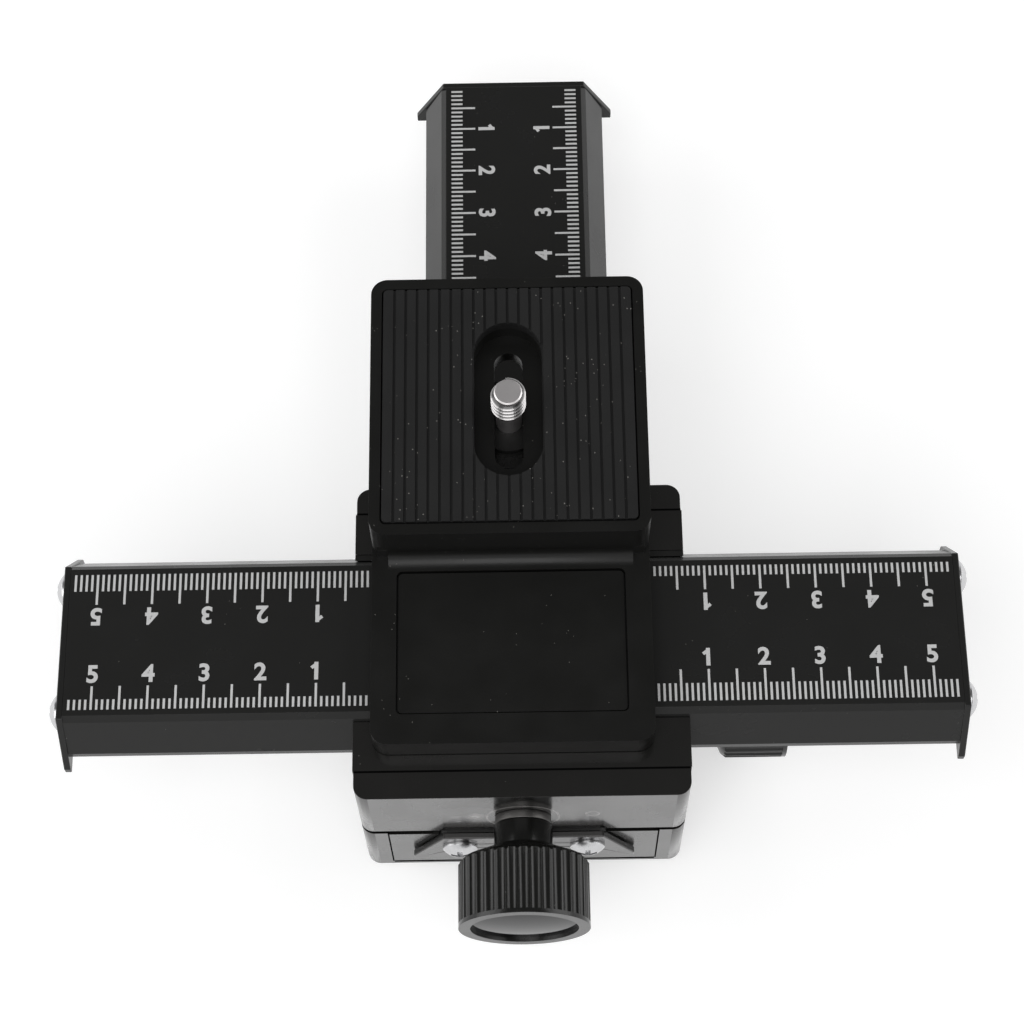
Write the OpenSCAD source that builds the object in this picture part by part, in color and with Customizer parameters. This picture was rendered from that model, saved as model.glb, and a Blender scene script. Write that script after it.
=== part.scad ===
// Four-way macro focusing rail: two rack-and-pinion stages, crossed and stacked.
// The lower stage moves fore and aft (Y), the upper stage left and right (X).
// Origin: centre of the tripod plate's bottom face. +Z is up, -Y is the front.

/* [Rails] */
// Length of each rail between its end plates
rail_len = 160; // [120:1:200]
// Width of a rail's flat, graduated top
rail_top_w = 28; // [24:0.5:32]
// Chamfer along a rail's top edges
rail_chamfer = 1; // [0.5:0.1:1.5]
// How far each dovetail flank spreads outwards
flank_out = 3.5; // [3:0.1:4]
// Height of a rail
rail_h = 9.5; // [9:0.1:10]
// Height of the upright foot under each flank
rail_foot_h = 1.5; // [1:0.1:2]
// Gap between a rail and its channel
slide_gap = 0.2; // [0.15:0.01:0.3]

/* [Blocks] */
// Outer length and width of a slide block
block_w = 59.5; // [56:0.5:66]
// Height of a slide block
block_h = 20; // [19.5:0.5:24]
// Thickness of a housing's side walls
wall_t = 5; // [4:0.5:6]
// Thickness of a housing's floor
floor_t = 2; // [1.6:0.1:2.2]
// Radius of a housing's upright corners
corner_r = 2.5; // [1.5:0.5:4]
// How far a rail's top stands above its block
rail_rise = 1.5; // [1:0.1:2]
// How far the core stands out of each end of its housing
core_proud = 0.2; // [0:0.1:0.5]
// Gap at the seam between a core and its housing
seam_gap = 0.15; // [0.05:0.01:0.25]
// Thickness of the gib strip beside a rail
gib_t = 1; // [0.8:0.1:1.4]
// Gap between fixed pieces that slip together
fit_gap = 0.05; // [0.03:0.01:0.1]

/* [Drive] */
// Gear module of rack and pinion
gear_module = 0.8; // [0.7:0.05:0.85]
// Number of pinion teeth
pinion_teeth = 12; // [11:1:13]
// Face width of the pinion and the rack
gear_w = 8; // [6:0.5:9]
// Thickness of the rack behind its teeth
rack_back = 2; // [1.5:0.1:2.5]
// Play between rack and pinion teeth
backlash = 0.16; // [0.12:0.01:0.22]
// Diameter of the pinion shaft
shaft_d = 5; // [4:0.1:5.5]
// Outer diameter of the bush in the housing wall
bush_d = 8; // [7.5:0.1:8.6]
// Diameter of the bush's flange
bush_flange_d = 10.1; // [9.6:0.1:11]
// Thickness of the bush's flange
bush_flange_t = 1.5; // [1:0.1:2]
// How far the shaft reaches past the pinion's middle
shaft_tail = 18; // [12:0.5:20]

/* [Knobs] */
// Diameter of a focusing knob
knob_d = 23.4; // [20:0.1:23.6]
// Diameter of a knob's collar
collar_d = 10.5; // [9.5:0.1:11.5]
// Length of a knob's collar
collar_l = 4; // [3:0.5:5]
// Length of the shoulder between collar and grip
shoulder_l = 3.3; // [2.5:0.1:4]
// Length of a knob's fluted grip
grip_l = 11.4; // [9:0.1:13]
// Number of flutes round a knob
flutes = 36; // [24:1:40]
// Depth of each flute
flute_depth = 0.5; // [0.3:0.05:0.6]
// Width of the rim round a knob's face
knob_rim = 2.1; // [1.6:0.1:2.6]
// Depth of the dish in a knob's face
dish_depth = 2; // [1.5:0.1:2.5]
// Thickness of the cap in the dish
cap_t = 0.9; // [0.6:0.1:1.2]
// How deep the shaft sits in a knob
shaft_grip = 13; // [10:0.5:14]

/* [End plates] */
// Thickness of an end plate
plate_t = 1.2; // [1:0.1:2]
// Width of an end plate at its top
plate_top_w = 29.2; // [28:0.1:30]
// Width of an end plate at its wings
plate_wing_w = 41; // [39:0.5:43]
// Height of an end plate
plate_h = 12.5; // [11:0.1:12.8]
// Height of the wings' upright edge
plate_lip_h = 1.6; // [1:0.1:2]
// Spacing of the two screws in an end plate
end_screw_gap = 23.4; // [22:0.1:24]
// Depth of those screws below the rail's top
end_screw_drop = 4.8; // [4.4:0.1:5.6]
// Thread diameter of the end plate screws
end_screw_d = 3; // [2.5:0.1:3]
// Length of their threads
end_screw_l = 10; // [6:0.5:11]
// Head diameter of the end plate screws
end_head_d = 6.4; // [5.5:0.1:6.6]
// Head height of the end plate screws
end_head_h = 2; // [1.6:0.1:2.2]

/* [Camera bracket] */
// Width of the bracket
bracket_w = 50; // [46:0.5:56]
// Depth of the camera platform, front to back
platform_l = 51; // [46:0.5:54]
// How far the deck reaches in front of the platform
deck_l = 35.4; // [34:0.1:38]
// Thickness of the deck
deck_t = 4.6; // [4.2:0.1:5.4]
// Height of the platform's rim above the upper rail
platform_z = 14.8; // [14:0.1:16]
// Distance from the upper rail's middle to the platform's front
platform_y = 13.7; // [12:0.1:14.5]
// Corner radius of platform and deck
bracket_r = 3; // [2:0.5:5]
// Thickness of the platform under its pad
platform_t = 5.8; // [5:0.1:6.2]
// Thickness of the riser between deck and platform
riser_t = 4; // [3:0.1:4.4]
// Radius of the hollow curve between deck and riser
riser_r = 2.4; // [1:0.1:2.8]
// How far the deck's front lip hangs down over the block
lip_drop = 1.2; // [0.6:0.1:1.2]
// Thickness of that lip
lip_t = 2; // [1:0.1:3]
// Thickness of the ribs under the platform
rib_t = 3; // [2:0.5:4]
// How far each rib's foot reaches behind the riser
rib_foot = 5; // [2:0.5:10]
// Width of the rim round the pad
rim_w = 2; // [1.5:0.1:3]
// Width of the blank label plate
label_w = 41; // [34:0.5:42]
// Depth of the blank label plate, front to back
label_l = 27; // [22:0.1:27.4]
// Distance from the label plate to the riser
label_edge = 2.9; // [2.8:0.1:4]
// Thickness of the label plate
label_t = 1; // [0.6:0.1:1.2]
// Depth of the recess that holds it
label_recess = 1.4; // [1.3:0.1:1.6]

/* [Pad and camera screw] */
// Thickness of the rubber pad
pad_t = 2; // [1.5:0.1:2.5]
// How far the pad stands above the rim
pad_proud = 0.3; // [0:0.1:0.5]
// Gap round the pad
pad_gap = 0.3; // [0.2:0.1:0.5]
// Number of grooves across the pad
pad_grooves = 21; // [15:1:25]
// Width of each groove
groove_w = 0.5; // [0.3:0.1:1]
// Depth of each groove
groove_d = 0.4; // [0.3:0.1:0.9]
// Width of the oval well round the screw
well_w = 12.4; // [11:0.1:14]
// Length of the oval well
well_l = 30.6; // [26:0.1:32]
// Depth of the well below the pad's seat
well_d = 3; // [2.5:0.1:3.4]
// How far the well lies behind the platform's middle
well_shift = 0.8; // [0:0.1:1.5]
// Width of the slot in the well's floor
slot_w = 5.2; // [5:0.1:5.6]
// Diameter of the camera screw's thread
screw_d = 6.35; // [6:0.05:6.5]
// Diameter of the camera screw's neck
neck_d = 4.8; // [4.4:0.1:4.8]
// How far the camera screw stands above the rim
screw_proud = 4.5; // [3.5:0.1:6]
// Length of thread on the camera screw
thread_l = 7; // [6:0.1:8]
// Diameter of the knob under the platform
screw_knob_d = 18; // [15:0.5:20]
// Height of that knob
screw_knob_h = 6; // [5:0.1:6.2]

/* [Tripod plate] */
// Length and width of the tripod plate
tripod_w = 50; // [44:0.5:54]
// Thickness of the tripod plate
tripod_t = 8; // [7:0.1:10]
// Outer diameter of the thread insert
insert_d = 11; // [9:0.5:13]
// Core diameter of the tripod thread
tripod_bore_d = 5.2; // [5:0.05:5.4]
// How deep the tripod plate screws bite into the lower core
tripod_screw_bite = 4; // [3:0.5:6]
// Spacing of the four tripod plate screws
tripod_screw_gap = 36; // [34:0.5:38]

/* [Assembly screws] */
// Thread diameter of the countersunk screws
csk_d = 3; // [2.5:0.1:3.5]
// Head diameter of the countersunk screws
csk_head_d = 5.6; // [5:0.1:6]
// Spacing of the stage screws across the lower rail
stage_gap_x = 18; // [17:0.5:20]
// Spacing of the stage screws along the lower rail
stage_gap_y = 24; // [22:0.5:26]
// Length of the stage screws
stage_screw_l = 16; // [15:0.1:16.4]
// Spacing of the bracket screws, left to right
bracket_gap_x = 24; // [20:0.5:28]
// Spacing of the bracket screws, front to back
bracket_gap_y = 12; // [10:0.5:12.5]
// Length of the bracket screws
bracket_screw_l = 7.5; // [6:0.1:8]

/* [Pose in the photograph] */
// How far the upper rail stands left of its block's middle
upper_shift = -1.5; // [-4:0.1:4]
// Gap between the lower rail's front plate and its block
stop_gap = 0.2; // [0.2:0.1:1]

/* [Hidden] */
$fn = 48;
eps = 0.01;

// Stacking heights, from the tripod plate's bottom face up
lower_rail_z = tripod_t + block_h + rail_rise;
upper_rail_z = lower_rail_z + block_h + rail_rise;
// The lower rail's middle, with its front plate near the block's front
lower_shift = rail_len / 2 - block_w / 2 - core_proud - stop_gap;

// Rail section: half widths and depths below the rail's top
half_top = rail_top_w / 2;
half_neck = half_top + rail_chamfer;
half_foot = half_neck + flank_out;
flank_bottom = rail_h - rail_foot_h;
// Length of the sloping flank, which turns thicknesses into sideways steps
flank_len = norm([flank_out, flank_bottom - rail_chamfer]);
side_step = flank_len / (flank_bottom - rail_chamfer);

// Gear sizes
pitch_r = gear_module * pinion_teeth / 2;
tooth_pitch = PI * gear_module;
tip_r = pitch_r + gear_module;
root_r = pitch_r - 1.2 * gear_module;
// The rack's tooth tips are flush with the rail's underside
rack_pitch_z = rail_h - gear_module;
rack_root_z = rack_pitch_z - 1.2 * gear_module;
rack_seat_z = rack_root_z - rack_back;
// Depth of the pinion's axis below the rail's top
axis_z = rack_pitch_z + pitch_r + backlash / 2;
pocket_w = 2 * tip_r + 0.6;

// Block section
core_w = block_w - 2 * wall_t;
core_top = rail_rise;
block_bottom = rail_rise + block_h;
core_bottom = block_bottom - floor_t;
channel_bottom = rail_h + slide_gap;

// Knob stations along the shaft, measured from the block's middle
flange_y = block_w / 2 + bush_flange_t;
collar_y = flange_y + 0.2;
shoulder_y = collar_y + collar_l;
grip_y = shoulder_y + shoulder_l;
face_y = grip_y + grip_l;

// Bracket section
platform_mid = platform_y + platform_l / 2;
pad_seat = platform_z - pad_t;
platform_bottom = pad_seat - platform_t;
well_floor = pad_seat - well_d;
slot_l = well_l - well_w + slot_w;
deck_front = platform_y - deck_l;
label_mid = platform_y - label_edge - label_l / 2;
neck_l = well_floor - platform_bottom;
washer_t = 0.8;
washer_d = 12;
pad_w = bracket_w - 2 * rim_w - 2 * pad_gap;
pad_l = platform_l - 2 * rim_w - 2 * pad_gap;

// ---- Shared shapes ----

// A rectangle with round corners, centred
module round_rect(w, l, r) {
    square([w - 2 * r, l], center = true);
    square([w, l - 2 * r], center = true);
    for (x = [-1, 1], y = [-1, 1])
        translate([x * (w / 2 - r), y * (l / 2 - r)]) circle(r = r);
}

// A slot with round ends, long way along Y
module oval(w, l) {
    square([w, l - w], center = true);
    for (y = [-1, 1]) translate([0, y * (l - w) / 2]) circle(d = w);
}

// Extrudes a section drawn in Y and Z along X, centred
module along_x(length) {
    translate([-length / 2, 0, 0])
        rotate([90, 0, 90]) linear_extrude(length) children();
}

// A cylinder along Y between two stations
module along_y(y0, y1, d) {
    translate([0, y1, 0]) rotate([90, 0, 0]) cylinder(h = y1 - y0, d = d);
}

// A countersunk screw whose head's flat top is at z = 0, shank downwards
module csk_screw(length) {
    translate([0, 0, -(csk_head_d - csk_d) / 2])
        cylinder(h = (csk_head_d - csk_d) / 2, d1 = csk_d, d2 = csk_head_d);
    translate([0, 0, -length]) cylinder(h = length, d = csk_d);
    // The head's rim and the cross recess are left to a plain flat top
}

// The hole for such a screw, open above
module csk_hole(length) {
    head_h = (csk_head_d - csk_d) / 2;
    translate([0, 0, -head_h])
        cylinder(h = head_h, d1 = csk_d + 2 * fit_gap, d2 = csk_head_d + 2 * fit_gap);
    translate([0, 0, -length - fit_gap]) cylinder(h = length + 1, d = csk_d + 2 * fit_gap);
}

// Repeats a shape at the corners of a rectangle
module at_corners(gap_x, gap_y) {
    for (x = [-1, 1], y = [-1, 1])
        translate([x * gap_x / 2, y * gap_y / 2, 0]) children();
}

// ---- One stage, in its own frame ----
// X runs along the rail, the knob is on the -Y side, and z = 0 is the rail's top.

module rail_section() {
    polygon([
        [-half_top, 0], [half_top, 0], [half_neck, -rail_chamfer],
        [half_foot, -flank_bottom], [half_foot, -rail_h],
        [-half_foot, -rail_h], [-half_foot, -flank_bottom], [-half_neck, -rail_chamfer]
    ]);
}

// The channel that the rail slides in: the rail's section plus a gap, wider for the gib
module channel_section() {
    s = slide_gap * side_step;
    g = s + (gib_t + 2 * fit_gap) * side_step;
    polygon([
        [-half_neck - s, 0], [half_neck + g, 0],
        [half_neck + g, -rail_chamfer], [half_foot + g, -flank_bottom],
        [half_foot + g, -channel_bottom], [-half_foot - s, -channel_bottom],
        [-half_foot - s, -flank_bottom], [-half_neck - s, -rail_chamfer]
    ]);
}

module stage_rail(shift) {
    color([0.09, 0.09, 0.09])
    translate([shift, 0, 0])
    difference() {
        along_x(rail_len) rail_section();
        // Groove for the rack
        translate([0, 0, -rail_h])
            cube([rail_len + 2, gear_w + 2 * fit_gap, 2 * (rail_h - rack_seat_z)], center = true);
        // Screw ports in both ends
        for (x = [-1, 1], y = [-1, 1])
            translate([x * rail_len / 2, y * end_screw_gap / 2, -end_screw_drop])
                rotate([0, 90, 0])
                    cylinder(h = 2 * end_screw_l + 1, d = end_screw_d + 2 * fit_gap, center = true);
        children();
    }
}

// Rack teeth point down; a tooth space is centred over the pinion at x = 0
module stage_rack(shift) {
    half_tip = tooth_pitch / 4 - gear_module * tan(20) - backlash / 4;
    half_root = tooth_pitch / 4 + 1.2 * gear_module * tan(20) - backlash / 4;
    first = ceil((shift - rail_len / 2 + half_root) / tooth_pitch - 0.5);
    last = floor((shift + rail_len / 2 - half_root) / tooth_pitch - 0.5);
    teeth = [for (k = [first : last]) let (x = (k + 0.5) * tooth_pitch) each [
        [x - half_root, -rack_root_z], [x - half_tip, -rail_h],
        [x + half_tip, -rail_h], [x + half_root, -rack_root_z]
    ]];
    color([0.55, 0.55, 0.57])
    translate([0, gear_w / 2, 0]) rotate([90, 0, 0]) linear_extrude(gear_w)
        polygon(concat(
            [[shift - rail_len / 2, -rack_seat_z - fit_gap], [shift - rail_len / 2, -rack_root_z]],
            teeth,
            [[shift + rail_len / 2, -rack_root_z], [shift + rail_len / 2, -rack_seat_z - fit_gap]]
        ));
}

// Pinion teeth narrow towards the tip; one tooth points up at rest
module pinion_section() {
    step = 360 / pinion_teeth;
    half_pitch_angle = step / 4 - backlash / pitch_r * 180 / PI / 2;
    half_tip_angle = half_pitch_angle * 0.42;
    half_root_angle = half_pitch_angle * 1.25;
    polygon([for (k = [0 : pinion_teeth - 1]) let (a = 90 - k * step) each [
        root_r * [cos(a + half_root_angle), sin(a + half_root_angle)],
        pitch_r * [cos(a + half_pitch_angle), sin(a + half_pitch_angle)],
        tip_r * [cos(a + half_tip_angle), sin(a + half_tip_angle)],
        tip_r * [cos(a - half_tip_angle), sin(a - half_tip_angle)],
        pitch_r * [cos(a - half_pitch_angle), sin(a - half_pitch_angle)],
        root_r * [cos(a - half_root_angle), sin(a - half_root_angle)]
    ]]);
}

module stage_pinion_shaft() {
    color([0.7, 0.7, 0.72])
    translate([0, 0, -axis_z]) {
        translate([0, gear_w / 2, 0]) rotate([90, 0, 0]) linear_extrude(gear_w) pinion_section();
        along_y(-collar_y - shaft_grip, shaft_tail, shaft_d);
    }
}

module stage_housing() {
    color([0.1, 0.1, 0.1])
    difference() {
        translate([0, 0, -block_bottom]) linear_extrude(block_h) round_rect(block_w, block_w, corner_r);
        translate([0, 0, -core_bottom / 2])
            cube([block_w + 2, core_w, core_bottom], center = true);
        translate([0, 0, -axis_z]) along_y(-block_w / 2 - 1, -core_w / 2 + 1, bush_d + 2 * fit_gap);
        children();
    }
}

module stage_core() {
    color([0.13, 0.13, 0.13])
    difference() {
        translate([0, 0, -(core_top + core_bottom) / 2])
            cube([block_w + 2 * core_proud, core_w - 2 * seam_gap, core_bottom - core_top], center = true);
        along_x(block_w + 2) channel_section();
        // Pocket for the pinion, open to the channel
        translate([0, 0, -(channel_bottom + core_bottom) / 2])
            cube([pocket_w, gear_w + 1, core_bottom - channel_bottom + 1], center = true);
        // Shaft bore
        translate([0, 0, -axis_z]) along_y(-core_w / 2 - 1, shaft_tail + 0.3, shaft_d + 2 * fit_gap);
        children();
    }
}

// The gib lies against the flank that the knob is away from
module stage_gib() {
    near = slide_gap * side_step;
    far = near + gib_t * side_step;
    // Flank points from the block's top face down to the flank's foot
    top_z = core_top + 0.1;
    lean = (top_z - rail_chamfer) * flank_out / (flank_bottom - rail_chamfer);
    color([0.2, 0.2, 0.2])
    along_x(block_w + 2 * core_proud)
        polygon([
            [half_neck + near + lean, -top_z], [half_neck + far + lean, -top_z],
            [half_foot + far, -flank_bottom], [half_foot + far, -channel_bottom + fit_gap],
            [half_foot + near, -channel_bottom + fit_gap], [half_foot + near, -flank_bottom]
        ]);
}

module stage_bush() {
    color([0.72, 0.7, 0.66])
    translate([0, 0, -axis_z])
    difference() {
        union() {
            along_y(-block_w / 2 - eps, -core_w / 2, bush_d);
            along_y(-flange_y, -block_w / 2, bush_flange_d);
        }
        along_y(-flange_y - 1, -core_w / 2 + 1, shaft_d + 2 * fit_gap);
    }
}

module stage_knob() {
    color([0.12, 0.12, 0.12])
    translate([0, 0, -axis_z])
    difference() {
        rotate([90, 0, 0]) rotate_extrude($fn = 96)
            polygon([
                [0, collar_y], [collar_d / 2, collar_y], [collar_d / 2, shoulder_y],
                [knob_d / 2 - 0.8, grip_y - 0.9], [knob_d / 2, grip_y],
                [knob_d / 2, face_y], [knob_d / 2 - knob_rim, face_y],
                [knob_d / 2 - knob_rim, face_y - dish_depth], [0, face_y - dish_depth]
            ]);
        for (k = [0 : flutes - 1])
            rotate([0, k * 360 / flutes, 0])
                translate([0, 0, knob_d / 2 + flute_depth])
                    along_y(-face_y + 0.8, -grip_y + 0.4, 4 * flute_depth);
        along_y(-collar_y - shaft_grip - 0.1, -collar_y + 1, shaft_d + 2 * fit_gap);
    }
}

module stage_knob_cap() {
    color([0.2, 0.2, 0.2])
    translate([0, 0, -axis_z])
        along_y(-face_y + dish_depth - cap_t, -face_y + dish_depth, knob_d - 2 * knob_rim - 2 * fit_gap);
}

// An end plate at one end of the rail: side is -1 or 1
module stage_end_plate(shift, side) {
    color([0.1, 0.1, 0.1])
    translate([shift + side * (rail_len + plate_t) / 2, 0, 0])
    difference() {
        along_x(plate_t)
            polygon([
                [-plate_top_w / 2, 0], [plate_top_w / 2, 0],
                [plate_wing_w / 2, -plate_h + plate_lip_h], [plate_wing_w / 2, -plate_h],
                [-plate_wing_w / 2, -plate_h], [-plate_wing_w / 2, -plate_h + plate_lip_h]
            ]);
        for (y = [-1, 1]) translate([0, y * end_screw_gap / 2, -end_screw_drop])
            rotate([0, 90, 0]) cylinder(h = plate_t + 2, d = end_screw_d + 2 * fit_gap, center = true);
    }
}

// Two pan-head screws in each end plate, with crossed recesses
module stage_end_screws(shift) {
    recess_w = 1;
    recess_l = 3.4;
    recess_d = 1.2;
    reach = rail_len / 2 + plate_t;
    color([0.8, 0.8, 0.82])
    for (side = [-1, 1], y = [-1, 1])
        translate([shift + side * reach, y * end_screw_gap / 2, -end_screw_drop])
        rotate([0, side * 90, 0])
        difference() {
            union() {
                translate([0, 0, -plate_t - end_screw_l + 1])
                    cylinder(h = plate_t + end_screw_l - 1, d = end_screw_d);
                pan_head();
            }
            for (a = [0, 90]) rotate(a)
                translate([0, 0, end_head_h])
                    cube([recess_l, recess_w, 2 * recess_d], center = true);
        }
}

// A shallow domed head: a slice of a sphere through the head's rim and crown
module pan_head() {
    rim_h = 0.6;
    crown = end_head_h - rim_h;
    dome_r = (pow(end_head_d / 2, 2) + pow(crown, 2)) / (2 * crown);
    cylinder(h = rim_h, d = end_head_d);
    intersection() {
        translate([0, 0, end_head_h - dome_r]) sphere(r = dome_r, $fn = 96);
        translate([0, 0, rim_h]) cylinder(h = crown + 1, d = end_head_d);
    }
}

// ---- Placing the two stages ----

module lower_stage() {
    translate([0, 0, lower_rail_z]) rotate([0, 0, 90]) children();
}

module upper_stage() {
    translate([0, 0, upper_rail_z]) children();
}

// The bracket rides on the upper rail
module on_upper_rail() {
    translate([upper_shift, 0, upper_rail_z]) children();
}

// ---- Tripod plate ----

module tripod_plate() {
    color([0.15, 0.15, 0.15])
    difference() {
        linear_extrude(tripod_t) round_rect(tripod_w, tripod_w, corner_r);
        translate([0, 0, -1]) cylinder(h = tripod_t + 2, d = insert_d + 2 * fit_gap);
        tripod_screw_places() csk_hole(tripod_t + 2);
    }
}

module tripod_thread_insert() {
    color([0.75, 0.68, 0.45])
    difference() {
        cylinder(h = tripod_t, d = insert_d);
        translate([0, 0, -1]) cylinder(h = tripod_t + 2, d = tripod_bore_d);
    }
}

// The tripod plate screws run upwards, so their heads face down
module tripod_screw_places() {
    at_corners(tripod_screw_gap, tripod_screw_gap) rotate([180, 0, 0]) children();
}

tripod_screw_l = tripod_t + floor_t + tripod_screw_bite;

module tripod_plate_screws() {
    color([0.7, 0.7, 0.72]) tripod_screw_places() csk_screw(tripod_screw_l);
}

// The screws that hold the upper block to the lower rail, heads in the channel's floor
module stage_screw_places() {
    translate([0, 0, upper_rail_z - channel_bottom]) at_corners(stage_gap_x, stage_gap_y) children();
}

module stage_screws() {
    color([0.7, 0.7, 0.72]) stage_screw_places() csk_screw(stage_screw_l);
}

// ---- Camera bracket ----

module bracket_outline(mid, length) {
    translate([0, mid]) round_rect(bracket_w, length, bracket_r);
}

module camera_bracket() {
    color([0.11, 0.11, 0.11])
    on_upper_rail()
    difference() {
        union() {
            // Deck on the rail
            linear_extrude(deck_t)
                bracket_outline(deck_front + (deck_l + riser_t) / 2, deck_l + riser_t);
            translate([0, 0, -lip_drop]) linear_extrude(lip_drop + 1) intersection() {
                bracket_outline(deck_front + (deck_l + riser_t) / 2, deck_l + riser_t);
                translate([-bracket_w / 2, deck_front]) square([bracket_w, lip_t]);
            }
            // Riser with a hollow curve at its foot, then the platform behind it
            along_x(bracket_w - 2 * bracket_r) translate([platform_y - riser_r, deck_t])
                difference() {
                    square(riser_r + eps);
                    translate([0, riser_r]) circle(r = riser_r);
                }
            linear_extrude(platform_z) intersection() {
                bracket_outline(platform_mid, platform_l);
                translate([-bracket_w / 2, platform_y]) square([bracket_w, riser_t]);
            }
            translate([0, 0, platform_bottom]) linear_extrude(platform_z - platform_bottom)
                bracket_outline(platform_mid, platform_l);
            // A rib under each side of the platform
            for (x = [-1, 1]) translate([x * (bracket_w / 2 - rib_t / 2 - 1), 0, 0])
                along_x(rib_t) polygon([
                    [platform_y, 0], [platform_y + riser_t + rib_foot, 0],
                    [platform_y + platform_l - bracket_r - 2, platform_bottom + 0.5],
                    [platform_y, platform_bottom + 0.5]
                ]);
        }
        // Seat for the pad
        translate([0, 0, pad_seat]) linear_extrude(pad_t + 1)
            translate([0, platform_mid])
                round_rect(bracket_w - 2 * rim_w, platform_l - 2 * rim_w, 1);
        // Well and slot for the camera screw
        translate([0, platform_mid + well_shift, well_floor])
            linear_extrude(well_d + 1) oval(well_w, well_l);
        translate([0, platform_mid + well_shift, 0]) linear_extrude(platform_z) oval(slot_w, slot_l);
        // Recess for the label plate
        translate([0, label_mid, deck_t - label_recess]) linear_extrude(label_recess + 1)
            round_rect(label_w, label_l, 1);
        bracket_screw_places() csk_hole(bracket_screw_l);
    }
}

module bracket_screw_places() {
    translate([0, 0, deck_t - label_recess]) at_corners(bracket_gap_x, bracket_gap_y) children();
}

module bracket_screws() {
    color([0.7, 0.7, 0.72]) on_upper_rail() bracket_screw_places() csk_screw(bracket_screw_l);
}

module label_plate() {
    color([0.12, 0.12, 0.12])
    on_upper_rail() translate([0, label_mid, deck_t - label_recess])
        linear_extrude(label_t) round_rect(label_w - 2 * pad_gap, label_l - 2 * pad_gap, 0.8);
}

module rubber_pad() {
    groove_pitch = pad_w / (pad_grooves + 1);
    color([0.14, 0.14, 0.14])
    on_upper_rail() translate([0, platform_mid, pad_seat])
    difference() {
        linear_extrude(pad_t + pad_proud) difference() {
            round_rect(pad_w, pad_l, 0.8);
            translate([0, well_shift]) oval(well_w, well_l);
        }
        for (k = [1 : pad_grooves])
            translate([-pad_w / 2 + k * groove_pitch, 0, pad_t + pad_proud])
                cube([groove_w, pad_l + 2, 2 * groove_d], center = true);
    }
}

// Camera screw: thread above, narrow neck in the slot, flange and shank below
screw_top = platform_z + screw_proud;
screw_shank_l = screw_knob_h + 0.5;

module camera_screw() {
    tip_chamfer = 0.7;
    thread_bottom = screw_top - thread_l;
    color([0.85, 0.85, 0.87])
    on_upper_rail() translate([0, platform_mid, 0]) {
        translate([0, 0, thread_bottom]) cylinder(h = thread_l - tip_chamfer, d = screw_d);
        translate([0, 0, screw_top - tip_chamfer])
            cylinder(h = tip_chamfer, d1 = screw_d, d2 = screw_d - 2 * tip_chamfer);
        translate([0, 0, platform_bottom - washer_t - screw_shank_l])
            cylinder(h = thread_bottom - platform_bottom + washer_t + screw_shank_l + eps, d = neck_d);
    }
}

module screw_washer() {
    color([0.6, 0.6, 0.62])
    on_upper_rail() translate([0, platform_mid, platform_bottom - washer_t - 0.1])
    difference() {
        cylinder(h = washer_t, d = washer_d);
        translate([0, 0, -1]) cylinder(h = washer_t + 2, d = neck_d + 2 * fit_gap);
    }
}

module screw_knob() {
    knob_top = platform_bottom - washer_t - 0.3;
    ribs = 24;
    color([0.12, 0.12, 0.12])
    on_upper_rail() translate([0, platform_mid, knob_top - screw_knob_h])
    difference() {
        cylinder(h = screw_knob_h, d = screw_knob_d);
        for (k = [0 : ribs - 1]) rotate(k * 360 / ribs)
            translate([screw_knob_d / 2 + 0.4, 0, -1]) cylinder(h = screw_knob_h - 0.2, d = 1.8);
        translate([0, 0, -1]) cylinder(h = screw_knob_h + 2, d = neck_d + 2 * fit_gap);
    }
}

// ---- Stage pieces, placed ----

module lower_housing() {
    lower_stage() stage_housing()
        translate([0, 0, -lower_rail_z]) tripod_screw_places() csk_hole(tripod_screw_l);
}

module lower_slide_core() {
    lower_stage() stage_core()
        translate([0, 0, -lower_rail_z]) tripod_screw_places() csk_hole(tripod_screw_l);
}

module upper_housing() {
    upper_stage() stage_housing()
        translate([0, 0, -upper_rail_z]) stage_screw_places() csk_hole(stage_screw_l);
}

module upper_slide_core() {
    upper_stage() stage_core()
        translate([0, 0, -upper_rail_z]) stage_screw_places() csk_hole(stage_screw_l);
}

// The stage screws are placed in the whole part's frame, so the turn is undone here
module lower_rail() {
    lower_stage() stage_rail(lower_shift)
        translate([-lower_shift, 0, 0]) rotate([0, 0, -90]) translate([0, 0, -lower_rail_z])
            stage_screw_places() csk_hole(stage_screw_l);
}

module upper_rail() {
    upper_stage() stage_rail(upper_shift) bracket_screw_places() csk_hole(bracket_screw_l);
}

module lower_gib_strip() { lower_stage() stage_gib(); }
module upper_gib_strip() { upper_stage() stage_gib(); }
module lower_shaft_bush() { lower_stage() stage_bush(); }
module upper_shaft_bush() { upper_stage() stage_bush(); }
module lower_pinion_shaft() { lower_stage() stage_pinion_shaft(); }
module upper_pinion_shaft() { upper_stage() stage_pinion_shaft(); }
module lower_focus_knob() { lower_stage() stage_knob(); }
module upper_focus_knob() { upper_stage() stage_knob(); }
module lower_knob_cap() { lower_stage() stage_knob_cap(); }
module upper_knob_cap() { upper_stage() stage_knob_cap(); }
module lower_rack() { lower_stage() stage_rack(lower_shift); }
module upper_rack() { upper_stage() stage_rack(upper_shift); }
module lower_front_plate() { lower_stage() stage_end_plate(lower_shift, -1); }
module lower_rear_plate() { lower_stage() stage_end_plate(lower_shift, 1); }
module upper_left_plate() { upper_stage() stage_end_plate(upper_shift, -1); }
module upper_right_plate() { upper_stage() stage_end_plate(upper_shift, 1); }
module lower_end_screws() { lower_stage() stage_end_screws(lower_shift); }
module upper_end_screws() { upper_stage() stage_end_screws(upper_shift); }

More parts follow.
